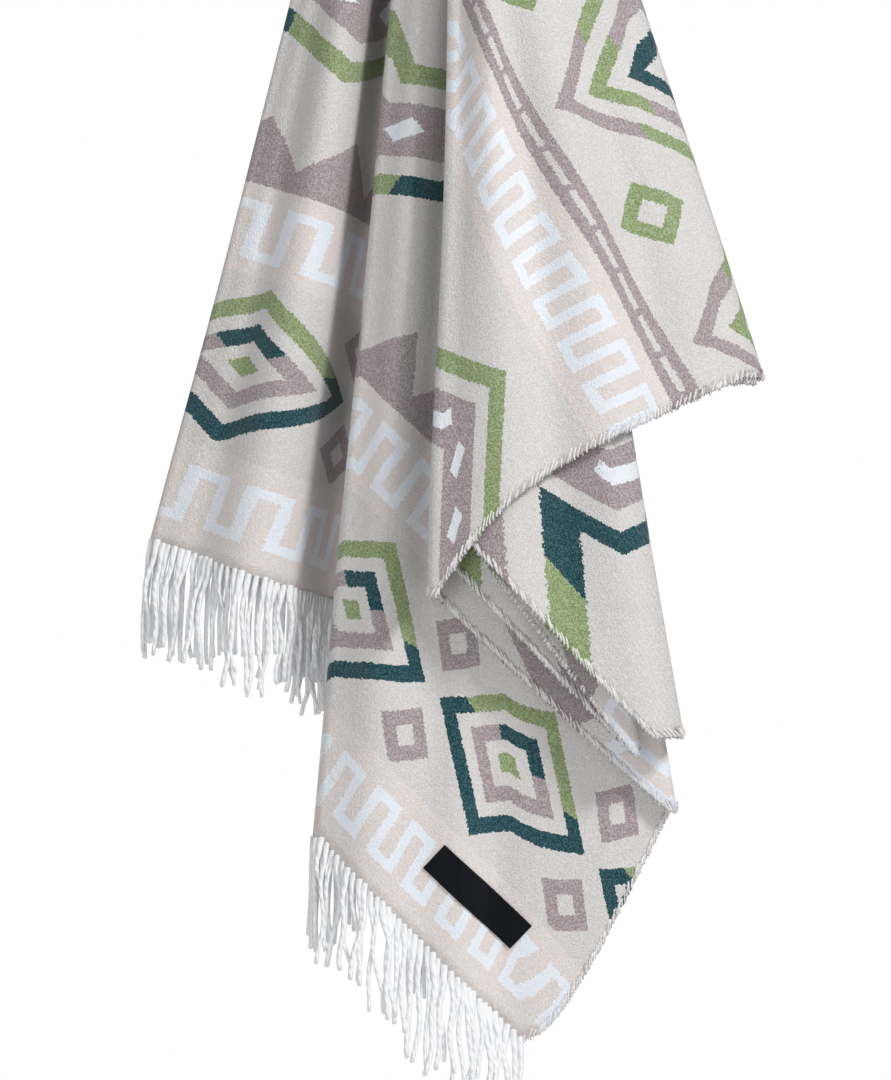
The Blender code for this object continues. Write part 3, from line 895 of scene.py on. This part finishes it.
# One loop's spots on each side of the cloth: its share of the bite, how far it stands off
# the cloth in metres and its share of the slant. Between the two it goes over the edge.
STITCH_FRONT = ((1.0, 0.0008, 1.0), (0.92, 0.0012, 0.92), (0.45, 0.0015, 0.4), (0.0, 0.0012, -0.1))
STITCH_BACK = ((0.0, -0.0012, 0.0), (0.8, -0.0013, 0.7), (0.9, -0.0008, 0.8))
STITCH_THICKNESS = (0.0, 0.85, 1.1, 1.0, 0.9, 1.0, 0.85, 0.0)


def stitch_finish():
    """Fuzzy yarn: white, or the colour of the cloth that a loop binds, darkened a little by painted
    shade.
    """
    finish = Finish("whip_stitch", Roughness=0.92, **SOFT_WOOL)
    white = finish.map("yarn")[0]
    here = finish.place()
    # Painted shade: the loops in the cloth's colour are darkened a little, standing in for the
    # shadows between the white loops.
    colour = finish.mix(0.14, pattern_colour(finish), linear(112, 98, 102))
    colour = finish.mix(white, colour, linear(246, 245, 245))
    fuzz = finish.cloud(here, 1100.0, 2.0)
    colour = finish.mix((fuzz < 0.45) * 0.25, colour, linear(110, 102, 102))
    return finish.feed(Base_Color=colour, Normal=finish.bump(fuzz, 0.0005, 0.7))


def stitch_path(rays, distances, distance, chance):
    """One loop: up the front at a slant, over the frayed edge and up the back."""
    root = edge_point(along_line(rays, distances, distance), 0.0)
    down = (edge_point(along_line(rays, distances, distance), 0.01) - root).normalized()
    ahead = edge_point(along_line(rays, distances, distance + EDGE_STEP), 0.0)
    ahead = ahead - edge_point(along_line(rays, distances, distance - EDGE_STEP), 0.0)
    ahead.normalize()
    out = down.cross(ahead).normalized()
    bite = STITCH_BITE * chance.uniform(0.6, 1.2)
    slant = STITCH_SLANT * chance.uniform(0.2, 1.6)
    fray = STITCH_FRAY * chance.uniform(0.2, 2.2)
    over_edge = root + down * fray + out * chance.uniform(-STITCH_STRAY, STITCH_STRAY)

    def on_cloth(bitten, off, slanted):
        return root - down * bite * bitten + out * off - ahead * slant * slanted

    return [*(on_cloth(*spot) for spot in STITCH_FRONT), over_edge,
            *(on_cloth(*spot) for spot in STITCH_BACK)]


def whip_stitch():
    """Loops over the edge, all the way along both selvedges."""
    chance = random.Random(11)
    paths = []
    radii = []
    tints = []
    stretches = (lambda ray: ray.cloth >= CORNER - 1e-6,
                 lambda ray: CORNER - 180 - 1e-6 <= ray.cloth <= -CORNER + 1e-6,
                 lambda ray: ray.cloth <= -180 - CORNER + 1e-6)
    for keep in stretches:
        rays, distances = edge_line(keep)
        distance = STITCH_PITCH
        while distance < distances[-1]:
            ray = along_line(rays, distances, distance)[0]
            paths.append(stitch_path(rays, distances, distance, chance))
            white = STITCH_WHITE if (len(paths) % 2) ^ (chance.random() < 0.1) else 0.0
            thick = STITCH_RADIUS * chance.uniform(0.85, 1.15) * (1.0 if white else 0.75)
            radii.append([thick * share for share in STITCH_THICKNESS])
            tints.append((white, cloth_place(ray, ray.reach - EDGE_STEP)))
            distance += STITCH_PITCH * chance.uniform(0.8, 1.2)
    work = bmesh.new()
    spots = tubes(work, paths, radii, STITCH_SIDES)
    steps = len(paths[0])
    set_map(work.loops.layers.uv.new("yarn"), spots,
            lambda column, row: (tints[row // steps][0], 0.0))
    set_map(work.loops.layers.uv.new("cloth"), spots,
            lambda column, row: tints[row // steps][1])
    bmesh.ops.remove_doubles(work, verts=work.verts, dist=1e-7)
    bmesh.ops.recalc_face_normals(work, faces=work.faces)
    return new_piece("whip_stitch", work, stitch_finish())


stitching = whip_stitch()

# The patch: a small tight-woven strip, near-black and left bare, sewn on by the corner
# with its edges folded under. It follows the panel that it lies on.
PATCH_LENGTH = 0.079
PATCH_WIDTH = 0.021
PATCH_THICKNESS = 0.0008
PATCH_LIFT = 0.0005
PATCH_MIDDLE = (0.0248, -0.9755)
PATCH_SLOPE = math.radians(-43.1)
PANEL_LAYER = 6
PATCH_COLUMNS = 64
PATCH_ROWS = 18
PATCH_TUCK = 0.0012
PATCH_SWELL = 0.35
PATCH_THREADS = 9000
PATCH_FLECKS = 900
PANEL_RAYS = [ray for ray in RAYS if ray.layer == PANEL_LAYER and ray.side_x == 0]


def panel_depth(x, z):
    """Depth of the main panel's cloth behind a point of the picture."""
    radius = math.hypot(x, z)
    for ray, after in zip(PANEL_RAYS, PANEL_RAYS[1:]):
        near, far = cloth_point(ray, radius), cloth_point(after, radius)
        if far.x <= x <= near.x:
            return blend(near.y, far.y, (near.x - x) / (near.x - far.x))
    return cloth_point(PANEL_RAYS[-1], radius).y


def patch_finish():
    """Tight plain weave, near-black, with a fleck of navy."""
    finish = Finish("label_cloth", Roughness=0.75, Sheen_Weight=0.03, Specular_IOR_Level=0.2)
    along, across = finish.map("patch")
    warp = finish.maths("SINE", along * PATCH_THREADS)
    weft = finish.maths("SINE", across * PATCH_THREADS)
    fleck = finish.cloud(finish.point(along * PATCH_FLECKS, across * PATCH_FLECKS), 1.0, 2.0)
    colour = finish.mix(fleck * (warp * weft + 1) * 0.5, linear(3, 6, 15), linear(14, 20, 34))
    return finish.feed(Base_Color=colour,
                       Normal=finish.bump(warp * weft + fleck * 0.5, 0.00025, 0.8))


def sewn_patch():
    """The strip, laid on the panel at a slant and swollen a little inside its edges."""
    work = bmesh.new()

    def flat(column, row):
        return (PATCH_LENGTH * (column / PATCH_COLUMNS - 0.5),
                PATCH_WIDTH * (row / PATCH_ROWS - 0.5))

    def place(column, row):
        along, across = flat(column, row)
        x = PATCH_MIDDLE[0] + along * math.cos(PATCH_SLOPE) - across * math.sin(PATCH_SLOPE)
        z = PATCH_MIDDLE[1] + along * math.sin(PATCH_SLOPE) + across * math.cos(PATCH_SLOPE)
        edge = min(PATCH_LENGTH / 2 - abs(along), PATCH_WIDTH / 2 - abs(across))
        swell = PATCH_TUCK * PATCH_SWELL * smooth(edge / PATCH_TUCK)
        depth = panel_depth(x, z) - CLOTH_THICKNESS / 2 - PATCH_LIFT - PATCH_THICKNESS / 2
        return Vector((x, depth - swell, z))

    spots = placed_grid(work, PATCH_COLUMNS, PATCH_ROWS, place)
    layer = work.loops.layers.uv.new("patch")
    set_map(layer, spots, flat)
    bmesh.ops.recalc_face_normals(work, faces=work.faces)
    piece = new_piece("sewn_patch", work, patch_finish())
    wall = piece.modifiers.new("thickness", "SOLIDIFY")
    wall.thickness = PATCH_THICKNESS
    wall.offset = 0.0
    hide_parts("label")
    return piece


patch = sewn_patch()

# The floor: a plain pale round, below the tips of the fringe.
FLOOR_HEIGHT = -1.30
FLOOR_RADIUS = 1.25

floor_mesh = bpy.data.meshes.new("floor")
floor_work = bmesh.new()
bmesh.ops.create_circle(floor_work, cap_ends=True, segments=96, radius=FLOOR_RADIUS)
bmesh.ops.translate(floor_work, vec=(0.0, 0.0, FLOOR_HEIGHT), verts=floor_work.verts)
floor_work.to_mesh(floor_mesh)
floor_work.free()
floor = bpy.data.objects.new("floor", floor_mesh)
bpy.context.scene.collection.objects.link(floor)
floor_finish = Finish("pale_floor", Roughness=0.8)
floor_finish.shader.inputs["Base Color"].default_value = linear(236, 236, 236)
floor_mesh.materials.append(floor_finish.material)

# Soft studio light: a key from the upper right, a broader and weaker fill from the front,
# one from behind and a white surround, which lights the throw less than it shows.
SURROUND_LIGHT = 0.34
LIGHTS = (
    ("key", (1.6, -1.8, 0.9), 0.6, 47.0),
    ("fill", (-0.7, -3.1, -0.6), 1.3, 20.0),
    ("rear", (-0.6, 2.4, 0.6), 1.6, 30.0),
)
for name, place, size, power in LIGHTS:
    data = bpy.data.lights.new(name, "AREA")
    data.shape = "DISK"
    data.size = size
    data.energy = power
    lamp = bpy.data.objects.new(name, data)
    bpy.context.scene.collection.objects.link(lamp)
    lamp.location = place
    lamp.rotation_euler = (VIEW_CENTRE - lamp.location).to_track_quat("-Z", "Y").to_euler()

world = bpy.data.worlds.new("surround")
world.use_nodes = True
tree = world.node_tree
shown = tree.nodes["Background"]
shown.inputs["Color"].default_value = (1.0, 1.0, 1.0, 1.0)
shown.inputs["Strength"].default_value = 1.0
lighting = tree.nodes.new("ShaderNodeBackground")
lighting.inputs["Color"].default_value = (1.0, 1.0, 1.0, 1.0)
lighting.inputs["Strength"].default_value = SURROUND_LIGHT
path_kind = tree.nodes.new("ShaderNodeLightPath")
choice = tree.nodes.new("ShaderNodeMixShader")
tree.links.new(path_kind.outputs["Is Camera Ray"], choice.inputs[0])
tree.links.new(lighting.outputs[0], choice.inputs[1])
tree.links.new(shown.outputs[0], choice.inputs[2])
tree.links.new(choice.outputs[0], tree.nodes["World Output"].inputs["Surface"])
bpy.context.scene.world = world
